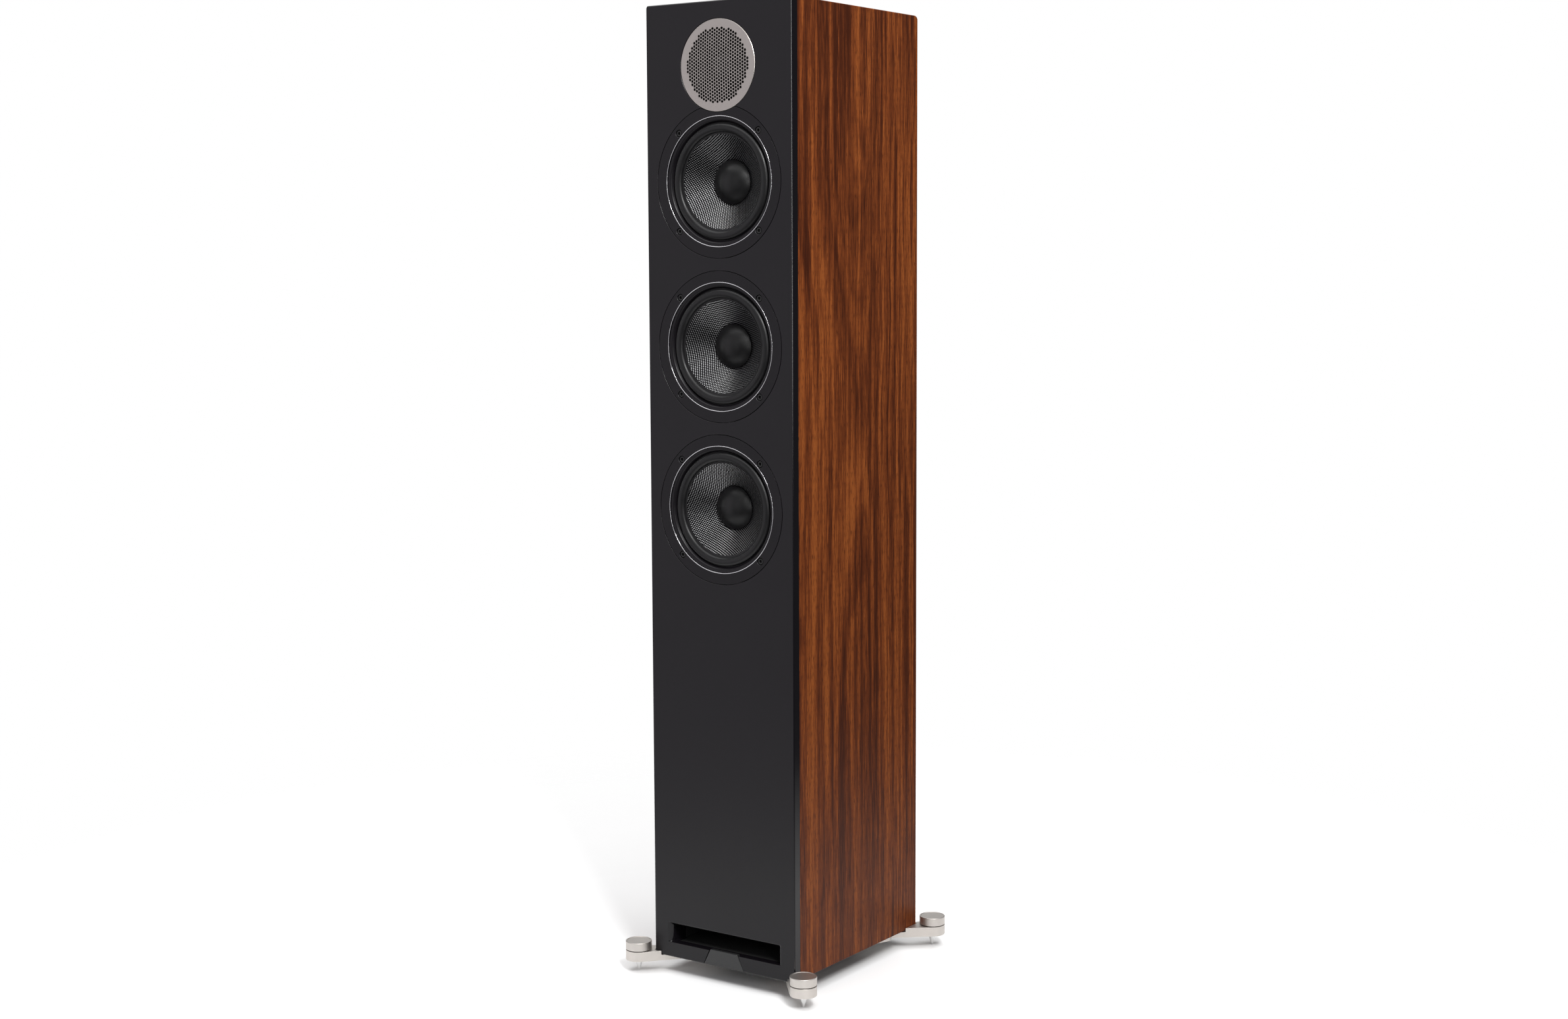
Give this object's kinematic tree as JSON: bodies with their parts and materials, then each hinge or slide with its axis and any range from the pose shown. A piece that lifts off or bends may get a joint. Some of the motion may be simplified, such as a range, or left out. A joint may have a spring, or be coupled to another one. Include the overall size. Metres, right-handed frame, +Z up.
{
  "type": "floorstanding speaker",
  "caption": "Slim floorstanding loudspeaker: walnut cabinet, black baffle with woven cone drivers and a perforated tweeter grille, slot port and outrigger spike feet.",
  "frame": {"origin": "on the floor, under the middle of the cabinet", "axes": "+Z up, -Y is the way the baffle faces, +X to the right of someone looking at the baffle"},
  "size_m": [0.25, 0.291, 1.052],
  "materials": {
    "baffle_black": "satin black lacquer on board",
    "walnut": "satin reddish-brown walnut veneer, grain vertical",
    "base_black": "matte black painted board",
    "raw_board": "bare fibreboard",
    "port_black": "matte black",
    "wadding": "loose white polyester wadding",
    "badge_black": "smooth black, blank",
    "driver_frame": "satin black cast metal",
    "trim_polished": "polished bevel",
    "surround_rubber": "smooth black rubber",
    "woven_cone": "silver and black woven fibre, clear coated",
    "dust_cap": "matte black",
    "spider_cloth": "corrugated doped cloth",
    "motor_steel": "blackened steel and ferrite",
    "tweeter_plate": "matte black",
    "satin_nickel": "satin nickel, perforated",
    "silk_dome": "coated black silk",
    "terminal_plastic": "fine textured black",
    "plated_brass": "gold plated",
    "terminal_black": "black knurled cap",
    "terminal_red": "red knurled cap",
    "circuit_board": "green printed board",
    "copper_coil": "enamelled copper wire",
    "capacitor_film": "red film sleeve",
    "foot_nickel": "satin nickel plated casting",
    "spike_polished": "polished steel cone, blackened collar"
  },
  "bodies": {
    "cabinet": {"front_baffle": "baffle_black", "side_panel_left": "walnut", "side_panel_right": "walnut", "top_panel": "walnut", "bottom_panel": "base_black", "back_panel": "walnut", "chamber_partition": "raw_board", "upper_brace": "raw_board", "lower_brace": "raw_board", "port_shelf": "port_black", "damping_pad": "wadding", "name_badge": "badge_black", "upper_frame": "driver_frame", "upper_trim_ring": "trim_polished", "upper_surround": "surround_rubber", "upper_spider": "spider_cloth", "upper_motor": "motor_steel", "middle_frame": "driver_frame", "middle_trim_ring": "trim_polished", "middle_surround": "surround_rubber", "middle_spider": "spider_cloth", "middle_motor": "motor_steel", "lower_frame": "driver_frame", "lower_trim_ring": "trim_polished", "lower_surround": "surround_rubber", "lower_spider": "spider_cloth", "lower_motor": "motor_steel", "tweeter_plate": "tweeter_plate", "tweeter_grille": "satin_nickel", "tweeter_motor": "motor_steel", "terminal_cup": "terminal_plastic", "post_left": "plated_brass", "post_right": "plated_brass", "crossover_board": "circuit_board", "inductor": "copper_coil", "capacitor": "capacitor_film", "arm_front_left": "foot_nickel", "arm_front_right": "foot_nickel", "arm_rear_left": "foot_nickel", "arm_rear_right": "foot_nickel"},
    "upper_diaphragm": {"upper_cone": "woven_cone", "upper_dust_cap": "dust_cap"},
    "middle_diaphragm": {"middle_cone": "woven_cone", "middle_dust_cap": "dust_cap"},
    "lower_diaphragm": {"lower_cone": "woven_cone", "lower_dust_cap": "dust_cap"},
    "tweeter_diaphragm": {"tweeter_dome": "silk_dome"},
    "nut_core_left": {"nut_core_left": "plated_brass"},
    "nut_cap_left": {"nut_cap_left": "terminal_black"},
    "nut_core_right": {"nut_core_right": "plated_brass"},
    "nut_cap_right": {"nut_cap_right": "terminal_red"},
    "spike_front_left": {"spike_front_left": "spike_polished"},
    "knob_front_left": {"knob_front_left": "foot_nickel"},
    "spike_front_right": {"spike_front_right": "spike_polished"},
    "knob_front_right": {"knob_front_right": "foot_nickel"},
    "spike_rear_left": {"spike_rear_left": "spike_polished"},
    "knob_rear_left": {"knob_rear_left": "foot_nickel"},
    "spike_rear_right": {"spike_rear_right": "spike_polished"},
    "knob_rear_right": {"knob_rear_right": "foot_nickel"}
  },
  "joints": [
    {"name": "upper_stroke", "type": "slide", "parent": "cabinet", "child": "upper_diaphragm", "axis": [0, -1, 0], "range_m": [-0.005, 0.005], "stiffness_N_per_m": 1000, "deforming": ["upper_surround", "upper_spider"]},
    {"name": "middle_stroke", "type": "slide", "parent": "cabinet", "child": "middle_diaphragm", "axis": [0, -1, 0], "range_m": [-0.005, 0.005], "stiffness_N_per_m": 1000, "deforming": ["middle_surround", "middle_spider"]},
    {"name": "lower_stroke", "type": "slide", "parent": "cabinet", "child": "lower_diaphragm", "axis": [0, -1, 0], "range_m": [-0.005, 0.005], "stiffness_N_per_m": 1000, "deforming": ["lower_surround", "lower_spider"]},
    {"name": "tweeter_stroke", "type": "slide", "parent": "cabinet", "child": "tweeter_diaphragm", "axis": [0, -1, 0], "range_m": [-0.0003, 0.0003], "stiffness_N_per_m": 2000},
    {"name": "nut_travel_left", "type": "slide", "parent": "cabinet", "child": "nut_core_left", "axis": [0, 1, 0], "range_m": [0, 0.004]},
    {"name": "nut_turn_left", "type": "hinge", "parent": "nut_core_left", "child": "nut_cap_left", "pos_m": [-0.019, 0.12, 0.15], "axis": [0, 1, 0], "range_deg": [0, 1440]},
    {"name": "nut_travel_right", "type": "slide", "parent": "cabinet", "child": "nut_core_right", "axis": [0, 1, 0], "range_m": [0, 0.004]},
    {"name": "nut_turn_right", "type": "hinge", "parent": "nut_core_right", "child": "nut_cap_right", "pos_m": [0.019, 0.12, 0.15], "axis": [0, 1, 0], "range_deg": [0, 1440]},
    {"name": "spike_lift_front_left", "type": "slide", "parent": "cabinet", "child": "spike_front_left", "axis": [0, 0, 1], "range_m": [0, 0.005]},
    {"name": "knob_turn_front_left", "type": "hinge", "parent": "spike_front_left", "child": "knob_front_left", "pos_m": [-0.1105, -0.131, 0.03], "axis": [0, 0, 1], "range_deg": [0, 1440]},
    {"name": "spike_lift_front_right", "type": "slide", "parent": "cabinet", "child": "spike_front_right", "axis": [0, 0, 1], "range_m": [0, 0.005]},
    {"name": "knob_turn_front_right", "type": "hinge", "parent": "spike_front_right", "child": "knob_front_right", "pos_m": [0.1105, -0.131, 0.03], "axis": [0, 0, 1], "range_deg": [0, 1440]},
    {"name": "spike_lift_rear_left", "type": "slide", "parent": "cabinet", "child": "spike_rear_left", "axis": [0, 0, 1], "range_m": [0, 0.005]},
    {"name": "knob_turn_rear_left", "type": "hinge", "parent": "spike_rear_left", "child": "knob_rear_left", "pos_m": [-0.1105, 0.131, 0.03], "axis": [0, 0, 1], "range_deg": [0, 1440]},
    {"name": "spike_lift_rear_right", "type": "slide", "parent": "cabinet", "child": "spike_rear_right", "axis": [0, 0, 1], "range_m": [0, 0.005]},
    {"name": "knob_turn_rear_right", "type": "hinge", "parent": "spike_rear_right", "child": "knob_rear_right", "pos_m": [0.1105, 0.131, 0.03], "axis": [0, 0, 1], "range_deg": [0, 1440]}
  ],
  "couplings": [
    {"joint": "nut_turn_left", "follows": "nut_travel_left", "rad_per_m": 6283.2},
    {"joint": "nut_turn_right", "follows": "nut_travel_right", "rad_per_m": 6283.2},
    {"joint": "knob_turn_front_left", "follows": "spike_lift_front_left", "rad_per_m": 5026.5},
    {"joint": "knob_turn_front_right", "follows": "spike_lift_front_right", "rad_per_m": 5026.5},
    {"joint": "knob_turn_rear_left", "follows": "spike_lift_rear_left", "rad_per_m": 5026.5},
    {"joint": "knob_turn_rear_right", "follows": "spike_lift_rear_right", "rad_per_m": 5026.5}
  ]
}
